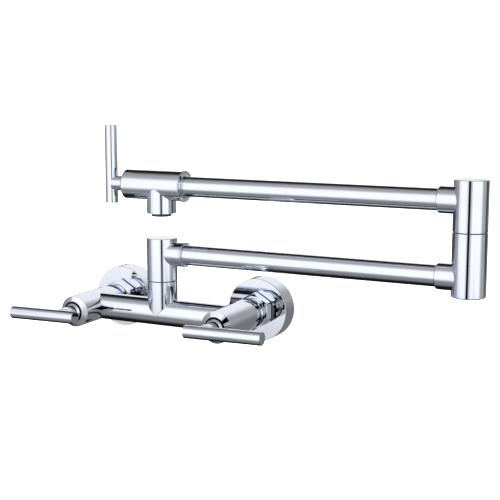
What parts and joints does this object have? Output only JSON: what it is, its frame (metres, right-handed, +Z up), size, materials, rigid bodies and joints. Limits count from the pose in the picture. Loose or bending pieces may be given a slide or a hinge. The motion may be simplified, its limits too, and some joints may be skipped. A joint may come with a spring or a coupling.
{
  "type": "wall mounted pot filler",
  "caption": "Chrome wall mounted pot filler with a bridge between paired inlet valves, a swivelling post, a double-jointed folding arm and a lever valve at the outlet.",
  "frame": {"origin": "on the wall plane, midway between the axes of the two inlets", "axes": "+X to the right along the folded arms, +Y into the wall, +Z up; the front faces -Y"},
  "size_m": [0.4309, 0.1442, 0.2027],
  "materials": {
    "chrome": "polished",
    "brass": "machined",
    "ceramic": "lapped",
    "rubber": "matt",
    "fibre": "matt",
    "bearing_plastic": "matt",
    "aerator_plastic": "matt",
    "steel": "plain"
  },
  "bodies": {
    "base": {"left_wall_union": "brass", "right_wall_union": "brass", "left_wall_flange": "chrome", "right_wall_flange": "chrome", "left_union_nut": "chrome", "right_union_nut": "chrome", "left_inlet_washer": "fibre", "right_inlet_washer": "fibre", "left_inlet_tail": "chrome", "right_inlet_tail": "chrome", "left_valve_body": "chrome", "right_valve_body": "chrome", "bridge_tee": "chrome", "left_seat_seal": "rubber", "right_seat_seal": "rubber", "left_cartridge_shell": "brass", "right_cartridge_shell": "brass", "left_fixed_disc": "ceramic", "right_fixed_disc": "ceramic", "left_bonnet_cap": "chrome", "right_bonnet_cap": "chrome", "post_spindle": "brass", "post_swivel_seals": "rubber", "post_swivel_washer": "bearing_plastic"},
    "left_handle": {"left_turning_disc": "ceramic", "left_valve_stem": "brass", "left_lever_hub": "chrome", "left_lever_rod": "chrome", "left_hub_screw": "steel"},
    "right_handle": {"right_turning_disc": "ceramic", "right_valve_stem": "brass", "right_lever_hub": "chrome", "right_lever_rod": "chrome", "right_hub_screw": "steel"},
    "lower_arm": {"post_sleeve": "chrome", "post_retaining_screw": "steel", "lower_collar_ring": "chrome", "lower_tube": "chrome", "elbow_lower_body": "chrome", "elbow_spindle": "brass", "elbow_swivel_seals": "rubber", "elbow_swivel_washer": "bearing_plastic"},
    "upper_arm": {"elbow_upper_body": "chrome", "elbow_retaining_screw": "steel", "upper_tube": "chrome", "spout_collar_ring": "chrome", "spout_valve_body": "chrome", "spout_seat_seal": "rubber", "spout_cartridge_shell": "brass", "spout_fixed_disc": "ceramic", "spout_bonnet_cap": "chrome", "aerator_shell": "aerator_plastic", "aerator_insert": "aerator_plastic", "aerator_washer": "rubber"},
    "spout_handle": {"spout_turning_disc": "ceramic", "spout_valve_stem": "brass", "spout_lever_hub": "chrome", "spout_lever_rod": "chrome", "spout_hub_screw": "steel"}
  },
  "joints": [
    {"name": "arm_swivel", "type": "hinge", "parent": "base", "child": "lower_arm", "pos_m": [0, -0.0658, 0.0557], "axis": [0, 0, 1], "range_deg": [-190, 10]},
    {"name": "elbow_swivel", "type": "hinge", "parent": "lower_arm", "child": "upper_arm", "pos_m": [0.2885, -0.0658, 0.1186], "axis": [0, 0, 1], "continuous": true},
    {"name": "left_valve_turn", "type": "hinge", "parent": "base", "child": "left_handle", "pos_m": [-0.075, -0.11, 0], "axis": [0, -1, 0], "range_deg": [0, 90]},
    {"name": "right_valve_turn", "type": "hinge", "parent": "base", "child": "right_handle", "pos_m": [0.075, -0.11, 0], "axis": [0, 1, 0], "range_deg": [0, 90]},
    {"name": "spout_valve_turn", "type": "hinge", "parent": "upper_arm", "child": "spout_handle", "pos_m": [-0.044, -0.0658, 0.1186], "axis": [1, 0, 0], "range_deg": [0, 90]}
  ]
}
